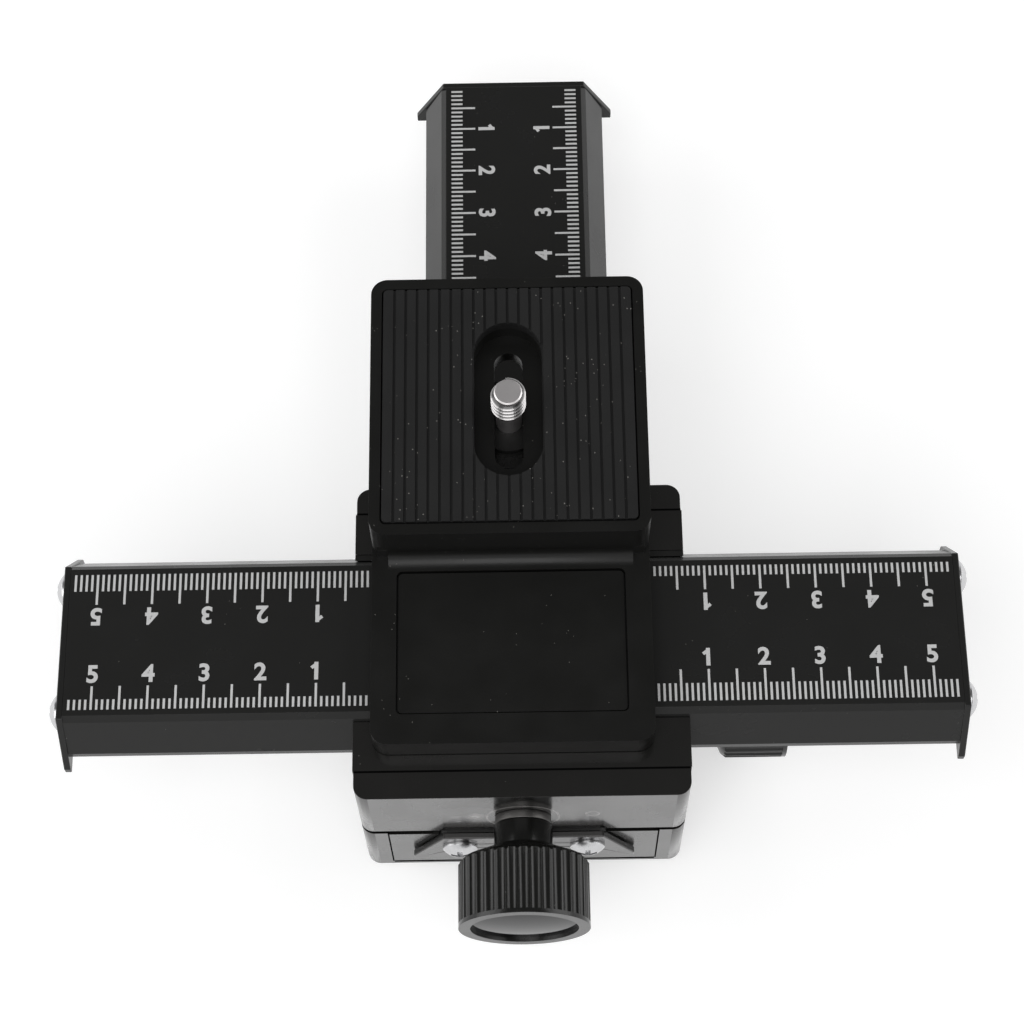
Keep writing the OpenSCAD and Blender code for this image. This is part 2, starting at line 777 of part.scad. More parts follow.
tripod_plate();
tripod_thread_insert();
tripod_plate_screws();
lower_housing();
lower_slide_core();
lower_gib_strip();
lower_shaft_bush();
lower_pinion_shaft();
lower_focus_knob();
lower_knob_cap();
lower_rail();
lower_rack();
lower_front_plate();
lower_rear_plate();
lower_end_screws();
stage_screws();
upper_housing();
upper_slide_core();
upper_gib_strip();
upper_shaft_bush();
upper_pinion_shaft();
upper_focus_knob();
upper_knob_cap();
upper_rail();
upper_rack();
upper_left_plate();
upper_right_plate();
upper_end_screws();
camera_bracket();
bracket_screws();
label_plate();
rubber_pad();
camera_screw();
screw_washer();
screw_knob();
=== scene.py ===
# %% [markdown]
# # A four-way macro focusing rail
# Two dovetail rails cross each other, and a knob drives each one through a rack and pinion.
# A bracket on the upper rail carries the camera. The CAD model fixes every size, so this
# script starts by loading it. It then adds what CAD leaves out: soft edges, finishes, dust,
# printed scales, dark seams, the screw's thread, domed caps, light and a camera.

# %% Load the CAD frame and note its size
import math

import bmesh
import bpy
from mathutils import Matrix, Vector


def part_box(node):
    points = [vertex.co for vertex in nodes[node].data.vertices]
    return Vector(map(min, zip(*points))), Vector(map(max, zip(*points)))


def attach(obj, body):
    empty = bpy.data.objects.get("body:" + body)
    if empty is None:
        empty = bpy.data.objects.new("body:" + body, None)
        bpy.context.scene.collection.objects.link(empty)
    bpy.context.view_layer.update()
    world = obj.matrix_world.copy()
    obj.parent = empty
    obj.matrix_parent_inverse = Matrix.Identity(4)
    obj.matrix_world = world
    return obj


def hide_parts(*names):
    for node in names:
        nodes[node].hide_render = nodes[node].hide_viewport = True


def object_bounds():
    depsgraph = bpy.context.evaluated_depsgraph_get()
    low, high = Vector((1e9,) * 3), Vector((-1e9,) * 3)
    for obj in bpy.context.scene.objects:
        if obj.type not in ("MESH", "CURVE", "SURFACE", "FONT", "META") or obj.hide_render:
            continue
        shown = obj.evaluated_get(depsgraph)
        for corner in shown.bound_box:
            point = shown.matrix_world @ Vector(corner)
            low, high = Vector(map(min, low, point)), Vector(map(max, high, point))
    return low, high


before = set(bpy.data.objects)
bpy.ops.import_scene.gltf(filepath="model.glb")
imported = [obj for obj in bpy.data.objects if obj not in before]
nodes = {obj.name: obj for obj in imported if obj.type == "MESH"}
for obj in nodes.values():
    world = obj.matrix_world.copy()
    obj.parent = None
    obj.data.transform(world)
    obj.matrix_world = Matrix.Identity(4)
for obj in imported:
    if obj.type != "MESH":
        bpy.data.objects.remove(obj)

MM = 0.001
cad_box = [[float(v) for v in corner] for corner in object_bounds()]
print("CAD nodes:", len(nodes), "box in mm:", [[round(v / MM, 1) for v in c] for c in cad_box])

# %% [markdown]
# ## The camera
# The photograph looks down from the front at about 67 degrees, a little turned and tilted.
# The printed centimetre marks gave the camera's place. A lens of 87.5 mm on a 36 mm sensor
# gives the same mild perspective. The place could be typed as a matrix, but three angles, a
# distance and a point to look at are easier to read and to change.

# %% Place the camera
rail_low, rail_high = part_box("upper_rail")
rail_top = rail_high[2]
rail_middle = (rail_low[0] + rail_high[0]) / 2

CAMERA_AZIMUTH = math.radians(1.10)
CAMERA_ELEVATION = math.radians(66.53)
CAMERA_ROLL = math.radians(-1.91)
CAMERA_DISTANCE = 456 * MM
AIM_RIGHT, AIM_BACK = 0.3 * MM, 24.1 * MM
LENS_MM, SENSOR_MM = 87.47, 36
NEAREST_SEEN = 10 * MM
target = Vector((rail_middle + AIM_RIGHT, AIM_BACK, rail_top))


def camera_matrix():
    """The camera's turn and place, from where it looks and how far away it is."""
    flat = math.cos(CAMERA_ELEVATION)
    back = Vector((math.sin(CAMERA_AZIMUTH) * flat, -math.cos(CAMERA_AZIMUTH) * flat,
                   math.sin(CAMERA_ELEVATION)))
    right = Vector((math.cos(CAMERA_AZIMUTH), math.sin(CAMERA_AZIMUTH), 0))
    up = back.cross(right)
    rolled_right = right * math.cos(CAMERA_ROLL) + up * math.sin(CAMERA_ROLL)
    rolled_up = up * math.cos(CAMERA_ROLL) - right * math.sin(CAMERA_ROLL)
    turn = Matrix((rolled_right, rolled_up, back)).transposed().to_4x4()
    return Matrix.Translation(target + back * CAMERA_DISTANCE) @ turn


camera_data = bpy.data.cameras.new("camera")
camera_data.lens = LENS_MM
camera_data.sensor_width = SENSOR_MM
camera_data.clip_start = NEAREST_SEEN
camera = bpy.data.objects.new("camera", camera_data)
bpy.context.scene.collection.objects.link(camera)
camera.matrix_world = camera_matrix()
bpy.context.scene.camera = camera
print("Camera at, in mm:", [round(v / MM) for v in camera.matrix_world.translation])

# %% [markdown]
# ## Effects that several finishes share
# Real black plastic is never a flat colour. It carries dust, a fine moulded grain and
# faint marks from hands. They could be painted on images, but an image needs a UV map and
# blurs close up. Noise in object coordinates needs no map and stays sharp. Each effect is
# one node group, built once and used with its own numbers in each material. A group gives
# out one number: a mask, a height or a roughness.


# %% Helpers for node groups
def new_group(name, inputs, output):
    """A shader group with number inputs and one number output, and its two end nodes."""
    group = bpy.data.node_groups.new(name, "ShaderNodeTree")
    for label, value in inputs.items():
        socket = group.interface.new_socket(label, in_out="INPUT", socket_type="NodeSocketFloat")
        socket.default_value = value
    group.interface.new_socket(output, in_out="OUTPUT", socket_type="NodeSocketFloat")
    return group, group.nodes.new("NodeGroupInput"), group.nodes.new("NodeGroupOutput")


def math_node(tree, operation, first, second=None):
    """A Math node. Each input is a number or another node's socket."""
    made = tree.nodes.new("ShaderNodeMath")
    made.operation = operation
    for slot_number, value in enumerate((first, second)):
        if isinstance(value, (int, float)):
            made.inputs[slot_number].default_value = value
        elif value is not None:
            tree.links.new(value, made.inputs[slot_number])
    return made.outputs[0]


def noise_at(tree, scale, detail=2.0):
    """Noise in object coordinates. scale is a number or a socket."""
    place = tree.nodes.new("ShaderNodeTexCoord")
    noise = tree.nodes.new("ShaderNodeTexNoise")
    noise.inputs["Detail"].default_value = detail
    if isinstance(scale, (int, float)):
        noise.inputs["Scale"].default_value = scale
    else:
        tree.links.new(scale, noise.inputs["Scale"])
    tree.links.new(place.outputs["Object"], noise.inputs["Vector"])
    return noise.outputs[0]


print("Helpers for node groups are ready")

# %% Dust: small pale specks, thicker in some places than in others
DUST_CLOUD_SCALE = 120.0


def make_dust_group():
    """Specks are the middles of scattered cells, kept only where a slow noise lets them be."""
    group, ends, out = new_group(
        "Dust specks", {"Scale": 900.0, "Speck size": 0.08, "Cover": 0.5}, "Mask")
    place = group.nodes.new("ShaderNodeTexCoord")
    cells = group.nodes.new("ShaderNodeTexVoronoi")
    group.links.new(place.outputs["Object"], cells.inputs["Vector"])
    group.links.new(ends.outputs["Scale"], cells.inputs["Scale"])
    near = math_node(group, "LESS_THAN", cells.outputs["Distance"], ends.outputs["Speck size"])
    cloud = math_node(group, "LESS_THAN", noise_at(group, DUST_CLOUD_SCALE), ends.outputs["Cover"])
    group.links.new(math_node(group, "MULTIPLY", near, cloud), out.inputs[0])
    return group


dust_group = make_dust_group()
print("Made:", dust_group.name)


# %% Moulded grain: a fine height that breaks up reflections
def make_grain_group():
    """Fine noise, to be used as a height."""
    group, ends, out = new_group("Fine grain", {"Scale": 3500.0}, "Height")
    group.links.new(noise_at(group, ends.outputs["Scale"], detail=3.0), out.inputs[0])
    return group


grain_group = make_grain_group()
print("Made:", grain_group.name)

# %% Handling marks: slow changes of gloss
CLOUD_LOW, CLOUD_HIGH = 0.35, 0.65  # nearly all of the noise lies between these values


def make_marks_group():
    """Slow noise, stretched so that it runs from one roughness to another."""
    group, ends, out = new_group(
        "Handling marks", {"Scale": 90.0, "Low": 0.3, "High": 0.4}, "Roughness")
    cloud = noise_at(group, ends.outputs["Scale"], detail=4.0)
    spread = group.nodes.new("ShaderNodeMapRange")
    spread.inputs["From Min"].default_value = CLOUD_LOW
    spread.inputs["From Max"].default_value = CLOUD_HIGH
    group.links.new(cloud, spread.inputs["Value"])
    group.links.new(ends.outputs["Low"], spread.inputs["To Min"])
    group.links.new(ends.outputs["High"], spread.inputs["To Max"])
    group.links.new(spread.outputs["Result"], out.inputs[0])
    return group


marks_group = make_marks_group()
print("Made:", marks_group.name)

# %% Rings and spots: a soft band at a set distance from a point
PATCHY_GAIN = 1.6  # lifts the noise's middle value to nearly 1


def make_ring_group():
    """A radius of 0 gives a round spot. Noise breaks the band up, as in a rubbed mark."""
    group, ends, out = new_group("Ring or spot", {
        "X": 0.0, "Y": 0.0, "Z": 0.0, "Radius": 0.0, "Width": 0.001, "Noise scale": 900.0}, "Mask")
    place = group.nodes.new("ShaderNodeTexCoord")
    point = group.nodes.new("ShaderNodeCombineXYZ")
    for axis in "XYZ":
        group.links.new(ends.outputs[axis], point.inputs[axis])
    apart = group.nodes.new("ShaderNodeVectorMath")
    apart.operation = "DISTANCE"
    group.links.new(place.outputs["Object"], apart.inputs[0])
    group.links.new(point.outputs[0], apart.inputs[1])
    off = math_node(group, "SUBTRACT", apart.outputs["Value"], ends.outputs["Radius"])
    off = math_node(group, "ABSOLUTE", off)
    off_in_widths = math_node(group, "DIVIDE", off, ends.outputs["Width"])
    fade = math_node(group, "SUBTRACT", 1.0, off_in_widths)
    cloud = noise_at(group, ends.outputs["Noise scale"], detail=4.0)
    patchy = math_node(group, "MULTIPLY", cloud, PATCHY_GAIN)
    mask = math_node(group, "MULTIPLY", math_node(group, "MAXIMUM", fade, 0.0), patchy)
    group.links.new(math_node(group, "MINIMUM", mask, 1.0), out.inputs[0])
    return group


ring_group = make_ring_group()
print("Shared effects:", [g.name for g in bpy.data.node_groups])

# %% [markdown]
# ## Finishes
# Nearly everything here is black, so the finishes differ in gloss and grain rather than
# in colour. The rails are anodised aluminium, the blocks and bracket are satin plastic,
# the pad is dull rubber, and the screws, bushes and shafts are steel. Each material could
# be set up by hand. One function makes them all instead, so a finish is a line of numbers
# that is easy to hold against the next one.


# %% Helpers that build a finish
COAT_ROUGHNESS = 0.12
MARKS_SCALE = 110.0
DUST_COLOR = (0.30, 0.29, 0.27)
GRAIN_DEPTH = 0.05 * MM


def use_group(tree, group, **values):
    """Places a shared effect in a material and sets its inputs. Returns its output."""
    placed = tree.nodes.new("ShaderNodeGroup")
    placed.node_tree = group
    for label, value in values.items():
        placed.inputs[label.replace("_", " ")].default_value = value
    return placed.outputs[0]


def finish(name, color, gloss, metallic=0.0, ior=1.5, dust=None, grain=None, coat=0.0,
           tint=(1, 1, 1)):
    """A material. gloss is (lowest, highest) roughness; dust is (size, cover);
    grain is (scale, strength); color and the tint of reflections are linear."""
    material = bpy.data.materials.new(name)
    material.use_nodes = True
    tree = material.node_tree
    shader = tree.nodes["Principled BSDF"]
    shader.inputs["Metallic"].default_value = metallic
    shader.inputs["IOR"].default_value = ior
    shader.inputs["Coat Weight"].default_value = coat
    shader.inputs["Coat Roughness"].default_value = COAT_ROUGHNESS
    shader.inputs["Specular Tint"].default_value = (*tint, 1)
    shader.inputs["Base Color"].default_value = (*color, 1)
    rough = use_group(tree, marks_group, Scale=MARKS_SCALE, Low=gloss[0], High=gloss[1])
    tree.links.new(rough, shader.inputs["Roughness"])
    if dust:
        specks = use_group(tree, dust_group, Speck_size=dust[0], Cover=dust[1])
        mix = tree.nodes.new("ShaderNodeMix")
        mix.data_type = "RGBA"
        mix.inputs["A"].default_value = (*color, 1)
        mix.inputs["B"].default_value = (*DUST_COLOR, 1)
        tree.links.new(specks, mix.inputs["Factor"])
        tree.links.new(mix.outputs["Result"], shader.inputs["Base Color"])
    if grain:
        bump = tree.nodes.new("ShaderNodeBump")
        bump.inputs["Strength"].default_value = grain[1]
        bump.inputs["Distance"].default_value = GRAIN_DEPTH
        tree.links.new(use_group(tree, grain_group, Scale=grain[0]), bump.inputs["Height"])
        tree.links.new(bump.outputs["Normal"], shader.inputs["Normal"])
    return material


def blend_in(material, mask, color, strength):
    """Lays a colour over a finish where the mask is 1."""
    tree = material.node_tree
    base = tree.nodes["Principled BSDF"].inputs["Base Color"]
    mix = tree.nodes.new("ShaderNodeMix")
    mix.data_type = "RGBA"
    mix.inputs["B"].default_value = (*color, 1)
    if base.is_linked:
        tree.links.new(base.links[0].from_socket, mix.inputs["A"])
    else:
        mix.inputs["A"].default_value = base.default_value
    tree.links.new(math_node(tree, "MULTIPLY", mask, strength), mix.inputs["Factor"])
    tree.links.new(mix.outputs["Result"], base)


print("Helpers for finishes are ready")

# %% The finishes of this rail
BLACK = (0.006, 0.006, 0.0055)
WARM = (1.0, 0.95, 0.93)
BLOCK_LOOK = {"gloss": (0.22, 0.30), "ior": 1.36, "coat": 0.60, "dust": (0.05, 0.42),
              "grain": (3000.0, 0.06), "tint": WARM}
anodised = finish("black anodised aluminium", (0.014, 0.014, 0.0135), (0.20, 0.28),
                  ior=1.31, dust=(0.045, 0.40), grain=(2500.0, 0.12))
block_black = finish("satin black block", BLACK, **BLOCK_LOOK)
marked_black = finish("satin black block with rubbed marks", BLACK, **BLOCK_LOOK)
moulded_black = finish("moulded black bracket", (0.0055, 0.0055, 0.005), (0.30, 0.38),
                       ior=1.34, dust=(0.055, 0.44), grain=(4000.0, 0.25))
knob_black = finish("black knob", BLACK, (0.20, 0.28),
                    ior=1.38, dust=(0.045, 0.4), grain=(3000.0, 0.15))
gloss_black = finish("polished black cap", (0.004, 0.004, 0.005), (0.04, 0.07), ior=1.2)
rubber = finish("ribbed black rubber", (0.009, 0.009, 0.009), (0.50, 0.60),
                ior=1.32, dust=(0.08, 0.50), grain=(2000.0, 0.4))
bright_steel = finish("bright plated steel", (0.55, 0.55, 0.56), (0.20, 0.30),
                      metallic=1.0, grain=(1500.0, 0.08))
turned_steel = finish("turned steel", (0.50, 0.50, 0.51), (0.28, 0.38), metallic=1.0)
brass = finish("brass insert", (0.62, 0.44, 0.18), (0.22, 0.32), metallic=1.0)
hazed_steel = finish("hazed bush steel", (0.10, 0.097, 0.094), (0.34, 0.52),
                     metallic=1.0, grain=(1200.0, 1.0))
tip_steel = finish("filed screw tip", (0.60, 0.58, 0.58), (0.42, 0.50),
                   metallic=1.0, grain=(2500.0, 0.3))
thread_steel = finish("thread steel", (0.40, 0.39, 0.39), (0.24, 0.32), metallic=1.0)
slide_plastic = finish("black slide plastic", BLACK, (0.40, 0.50), ior=1.34)
print("Finishes:", len(bpy.data.materials))

# %% [markdown]
# ## Dressing the CAD nodes
# A CAD node keeps its mesh. It gets a finish, and where its edges catch the light it also
# gets live modifiers: Weld joins the loose triangles, and Bevel rounds the sharp edges.
# Such small roundings could be cut in CAD, but they would make its files heavy. Here each
# one is a single number.

# %% Give every node its finish
NODE_FINISH = {
    "tripod_plate": anodised, "tripod_thread_insert": brass, "tripod_plate_screws": bright_steel,
    "lower_housing": block_black, "lower_slide_core": block_black,
    "lower_gib_strip": slide_plastic, "lower_shaft_bush": hazed_steel,
    "lower_pinion_shaft": turned_steel, "lower_focus_knob": knob_black,
    "lower_knob_cap": gloss_black, "lower_rail": anodised, "lower_rack": turned_steel,
    "lower_front_plate": block_black, "lower_rear_plate": anodised,
    "lower_end_screws": bright_steel, "stage_screws": bright_steel,
    "upper_housing": marked_black, "upper_slide_core": block_black,
    "upper_gib_strip": slide_plastic, "upper_shaft_bush": hazed_steel,
    "upper_pinion_shaft": turned_steel, "upper_focus_knob": knob_black,
    "upper_knob_cap": gloss_black, "upper_rail": anodised, "upper_rack": turned_steel,
    "upper_left_plate": anodised, "upper_right_plate": anodised,
    "upper_end_screws": bright_steel, "camera_bracket": moulded_black,
    "bracket_screws": bright_steel, "label_plate": moulded_black, "rubber_pad": rubber,
    "camera_screw": bright_steel, "screw_washer": slide_plastic, "screw_knob": knob_black,
}
for name, material in NODE_FINISH.items():
    node = nodes[name]
    node.data.materials.clear()
    node.data.materials.append(material)
print("Nodes with a finish:", len(NODE_FINISH), "of", len(nodes))

# %% Soften the edges that catch the light
WELD_GAP = 0.002 * MM
SOFT_ANGLE = math.radians(32)
SOFT_SEGMENTS = 3
SOFT_EDGES_MM = {
    "tripod_plate": 0.5, "lower_housing": 0.7, "upper_housing": 0.7,
    "lower_slide_core": 0.3, "upper_slide_core": 0.3, "lower_rail": 0.15, "upper_rail": 0.15,
    "camera_bracket": 0.8, "label_plate": 0.25, "rubber_pad": 0.12,
    "lower_focus_knob": 0.18, "upper_focus_knob": 0.18, "screw_knob": 0.3,
    "lower_front_plate": 0.2, "lower_rear_plate": 0.2,
    "upper_left_plate": 0.2, "upper_right_plate": 0.2,
    "lower_end_screws": 0.12, "upper_end_screws": 0.12,
    "lower_shaft_bush": 0.15, "upper_shaft_bush": 0.15,
}


def soften(node, width_mm):
    """Rounds a CAD node's sharp edges with live modifiers."""
    weld = node.modifiers.new("join triangles", "WELD")
    weld.merge_threshold = WELD_GAP
    bevel = node.modifiers.new("soft edges", "BEVEL")
    bevel.width = width_mm * MM
    bevel.segments = SOFT_SEGMENTS
    bevel.limit_method = "ANGLE"
    bevel.angle_limit = SOFT_ANGLE
    bevel.use_clamp_overlap = True
    bevel.harden_normals = False


for name, width in SOFT_EDGES_MM.items():
    soften(nodes[name], width)
print("Nodes with soft edges:", len(SOFT_EDGES_MM), "of", len(NODE_FINISH))

# %% [markdown]
# ## Rubbed marks
# The knob's collar has rubbed a pale ring round the bush on the upper block's front. To its
# left is a smear, made here of two spots, and to its right a small ring with a faint spot.
# They could be painted on an image. The ring effect needs only a point, a radius and a
# width for each, so it is laid over the block's black once for every mark.

# %% Rub the upper block's front
bush_low, bush_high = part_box("upper_shaft_bush")
bush_middle = [(a + b) / 2 for a, b in zip(bush_low, bush_high)]
front_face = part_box("upper_housing")[0][1]
PALE_RUB = (0.50, 0.48, 0.47)
RUBS_MM = {  # right of the bush, above it: (radius, width, strength)
    (0.0, 0.0): (6.5, 0.35, 0.8),
    (-8.5, 0.6): (0.0, 2.2, 0.9),
    (-12.0, 0.2): (0.0, 1.6, 0.4),
    (12.5, 1.4): (1.2, 0.3, 0.7),
    (10.0, -1.0): (0.0, 1.8, 0.3),
}
for (right, above), (radius, width, strength) in RUBS_MM.items():
    rub = use_group(marked_black.node_tree, ring_group, X=bush_middle[0] + right * MM,
                    Y=front_face, Z=bush_middle[2] + above * MM,
                    Radius=radius * MM, Width=width * MM)
    blend_in(marked_black, rub, PALE_RUB, strength)
print("Rubbed marks:", len(RUBS_MM))

# %% [markdown]
# ## Printed scales
# Each rail carries two rows of millimetre ticks with centimetre numbers, printed in pale
# grey. A picture of the scale could be laid on the rail, but it would need a UV map and
# blur close up. Here each tick is a plate thinner than a hair, and the numbers are text
# turned into a mesh, so the print stays crisp from any distance.

# %% The ink, and how a piece is made
ink = finish("pale grey ink", (0.52, 0.52, 0.52), (0.45, 0.55))
INK_THICKNESS = 0.03 * MM


def add_box(mesh, corner, opposite):
    """Adds a box between two opposite corners to a bmesh."""
    corner, opposite = Vector(corner), Vector(opposite)
    made = bmesh.ops.create_cube(mesh, size=1)
    size = Matrix.Diagonal([abs(v) for v in opposite - corner] + [1])
    place = Matrix.Translation((corner + opposite) / 2)
    bmesh.ops.transform(mesh, matrix=place @ size, verts=made["verts"])


def add_plate(mesh, x0, x1, y0, y1, z):
    """Adds one thin printed plate, resting on z, to a bmesh."""
    add_box(mesh, (x0, y0, z), (x1, y1, z + INK_THICKNESS))


def object_from(name, mesh, material, body):
    """Turns a bmesh into a piece that rides on a body."""
    bmesh.ops.recalc_face_normals(mesh, faces=mesh.faces)
    data = bpy.data.meshes.new(name)
    mesh.to_mesh(data)
    mesh.free()
    piece = bpy.data.objects.new(name, data)
    bpy.context.scene.collection.objects.link(piece)
    data.materials.append(material)
    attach(piece, body)
    return piece


print("Ink plates are", INK_THICKNESS / MM, "mm thick")

# %% The numbers, made from text
DIGIT_HEIGHT = 3.1 * MM
DIGIT_SHARE = 0.69  # how much of a font's size a digit's height takes up
CURVE_STEPS = 6
STROKE_SWELL = 0.14 * MM
FLAG_LENGTH, FLAG_WIDTH = 1.15 * MM, 0.62 * MM
FLAG_THICKNESS = 0.96 * INK_THICKNESS  # thinner than the bar, so no two faces coincide
FLAG_SLANT = math.radians(38)
FLAG_LEFT, FLAG_DOWN = 0.42 * MM, 0.66 * MM


def add_flag(data):
    """Gives the plain bar that Blender's font has for a 1 its slanted flag."""
    mesh = bmesh.new()
    mesh.from_mesh(data)
    made = bmesh.ops.create_cube(mesh, size=1)
    size = Matrix.Diagonal((FLAG_LENGTH, FLAG_WIDTH, FLAG_THICKNESS, 1))
    slant = Matrix.Rotation(FLAG_SLANT, 4, "Z")
    place = Matrix.Translation((-FLAG_LEFT, DIGIT_HEIGHT - FLAG_DOWN, 0))
    bmesh.ops.transform(mesh, matrix=place @ slant @ size, verts=made["verts"])
    mesh.to_mesh(data)
    mesh.free()


def digit(text, turn_degrees, x, y, z):
    """One printed number as mesh data, standing on (x, y) and turned about it."""
    curve = bpy.data.curves.new("number", "FONT")
    curve.body = text
    curve.align_x = "CENTER"
    curve.size = DIGIT_HEIGHT / DIGIT_SHARE
    curve.offset = STROKE_SWELL
    curve.extrude = INK_THICKNESS / 2
    curve.resolution_u = CURVE_STEPS
    flat = bpy.data.objects.new("number", curve)
    bpy.context.scene.collection.objects.link(flat)
    bpy.context.view_layer.update()
    data = bpy.data.meshes.new_from_object(flat)
    bpy.data.objects.remove(flat)
    if text == "1":
        add_flag(data)
    place = Matrix.Translation((x, y, z + INK_THICKNESS / 2))
    data.transform(place @ Matrix.Rotation(math.radians(turn_degrees), 4, "Z"))
    return data


def join_digits(name, digits, body):
    """Joins the numbers of one rail into one piece."""
    mesh = bmesh.new()
    for data in digits:
        mesh.from_mesh(data)
        bpy.data.meshes.remove(data)
    return object_from(name, mesh, ink, body)


print("Digits are", DIGIT_HEIGHT / MM, "mm high")

# %% The upper rail's ticks and numbers, counted outwards from the bracket
TICK_WIDTH = 0.42 * MM
ROW_EDGE = 12.9 * MM  # where the ticks start, from the rail's middle line
DIGIT_GAP = 0.8 * MM
ZERO_X = 25 * MM
UPPER_ROWS = {  # (side, front or back): short and long tick, in mm
    (-1, -1): (1.9, 4.4), (-1, 1): (3.2, 5.8), (1, -1): (3.3, 5.9), (1, 1): (1.9, 4.6),
}
upper_end_mark = round((rail_high[0] - rail_middle - ZERO_X) / MM)  # falls on the rail's end
upper_ticks = bmesh.new()
upper_digits = []
for (side, row), (short, long) in UPPER_ROWS.items():
    for count in range(1, upper_end_mark):
        length = (long if count % 5 == 0 else short) * MM
        x = rail_middle + side * (ZERO_X + count * MM)
        y_edge = row * ROW_EDGE
        y_inner = y_edge - row * length
        add_plate(upper_ticks, x - TICK_WIDTH / 2, x + TICK_WIDTH / 2,
                  min(y_edge, y_inner), max(y_edge, y_inner), rail_top)
        if count % 10 == 0:
            base = y_inner - row * DIGIT_GAP
            upper_digits.append(
                digit(str(count // 10), 0 if row < 0 else 180, x, base, rail_top))
object_from("upper_scale_ticks", upper_ticks, ink, "x_stage")
join_digits("upper_scale_numbers", upper_digits, "x_stage")
print("Upper rail: numbers", len(upper_digits))

# %% The lower rail's ticks and numbers, counted forwards from its rear end
lower_low, lower_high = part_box("lower_rail")
lower_top = lower_high[2]
lower_middle = (lower_low[0] + lower_high[0]) / 2
block_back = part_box("upper_housing")[1][1]
SHORT_TICK, LONG_TICK = 2.3 * MM, 4.9 * MM
TICK_CLEAR, DIGIT_CLEAR = 0.5 * MM, 2 * MM  # from the block's back
rail_length_mm = round((lower_high[1] - lower_low[1]) / MM)
lower_ticks = bmesh.new()
lower_digits = []
for side in (-1, 1):
    for count in range(1, rail_length_mm):
        y = lower_high[1] - count * MM
        if y < block_back + TICK_CLEAR:
            break
        length = LONG_TICK if count % 5 == 0 else SHORT_TICK
        x_edge = lower_middle + side * ROW_EDGE
        x_inner = x_edge - side * length
        add_plate(lower_ticks, min(x_edge, x_inner), max(x_edge, x_inner),
                  y - TICK_WIDTH / 2, y + TICK_WIDTH / 2, lower_top)
        if count % 10 == 0 and y > block_back + DIGIT_CLEAR:
            base = x_inner - side * DIGIT_GAP
            lower_digits.append(digit(str(count // 10), 90 * side, base, y, lower_top))
object_from("lower_scale_ticks", lower_ticks, ink, "y_stage")
join_digits("lower_scale_numbers", lower_digits, "y_stage")
print("Lower rail: numbers", len(lower_digits))

# %% [markdown]
# ## Dark seams between cores and housings
# Each block is a core in a U-shaped housing. The joint between them reads as a fine dark line on
# the block's top and round its ends. It is partly dirt and partly the shade inside the gap and
# under the core's proud end. The CAD solids leave a real gap there, but it is too narrow to show
# from this far away. So a thin dark strip of painted shade and dirt is laid over each joint.

# %% Lay the dark lines
SEAM_WIDTH = 0.32 * MM
SEAM_OVERLAP = 0.04 * MM
SEAM_THICKNESS = INK_THICKNESS
# Under a core's proud end the dark line is partly painted shade cast by its lip.
FOOT_BELOW = 0.35 * MM  # the line under a core's end, which stands proud of its housing
FOOT_ABOVE = 0.45 * MM
# Painted shade and dirt: a near-black, dull strip over each joint.
seam_shade_and_dirt = finish("painted shade and dirt in a seam", (0.002, 0.002, 0.002), (0.9, 1.0), ior=1.05)


def add_seams(stage, along, body):
    """Dark lines round one stage's core. along is the axis of its rail: 0 is X, 1 is Y."""
    across = 1 - along
    core_low, core_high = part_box(stage + "_slide_core")
    block_low, block_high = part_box(stage + "_housing")
    mesh = bmesh.new()

    def line(a, b, z):
        """A box from its ranges along the rail, across it and upwards."""
        spans = {along: a, across: b, 2: z}
        add_box(mesh, [spans[i][0] for i in range(3)], [spans[i][1] for i in range(3)])

    top = (block_high[2], block_high[2] + SEAM_THICKNESS)
    foot = core_low[2]
    for edge, side in ((core_low[across], -1), (core_high[across], 1)):
        width = (edge - side * SEAM_OVERLAP, edge + side * SEAM_WIDTH)
        line((block_low[along], block_high[along]), width, top)
        for end, out in ((block_low[along], -1), (block_high[along], 1)):
            line((end, end + out * SEAM_THICKNESS), width, (foot - FOOT_BELOW, block_high[2]))
    for end, lip, out in ((block_low[along], core_low[along], -1),
                          (block_high[along], core_high[along], 1)):
        line((end, lip + out * SEAM_THICKNESS), (core_low[across], core_high[across]),
             (foot - FOOT_BELOW, foot + FOOT_ABOVE))
    return object_from(stage + "_core_seams", mesh, seam_shade_and_dirt, body)


add_seams("upper", 0, "y_stage")
add_seams("lower", 1, "base")
print("Seams:", SEAM_WIDTH / MM, "mm wide")

# %% [markdown]
# ## The camera screw's thread
# The CAD screw is a plain cylinder at the size of the thread's crests. The real one has a
# quarter-inch thread with 20 turns to the inch. A bump in the material could suggest it,
# but its outline against the pad would stay straight. Here a small saw-tooth profile is
# spun round the axis while it climbs, which is how a thread is cut on a lathe.

# %% Measure the CAD screw
screw_low, screw_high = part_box("camera_screw")
screw_axis = Vector(((screw_low[0] + screw_high[0]) / 2, (screw_low[1] + screw_high[1]) / 2, 0))
CREST_RADIUS = (screw_high[0] - screw_low[0]) / 2
THREAD_DEPTH = 0.62 * MM
ROOT_RADIUS = CREST_RADIUS - THREAD_DEPTH
THREAD_LENGTH = 7 * MM
thread_low = screw_high[2] - THREAD_LENGTH
print("The screw is", round(2 * CREST_RADIUS / MM, 2), "mm across its crests")

# %% A lathe for round pieces
LATHE_STEPS = 64
LATHE_SHARP = math.radians(40)
LATHE_MERGE = 0.001 * MM


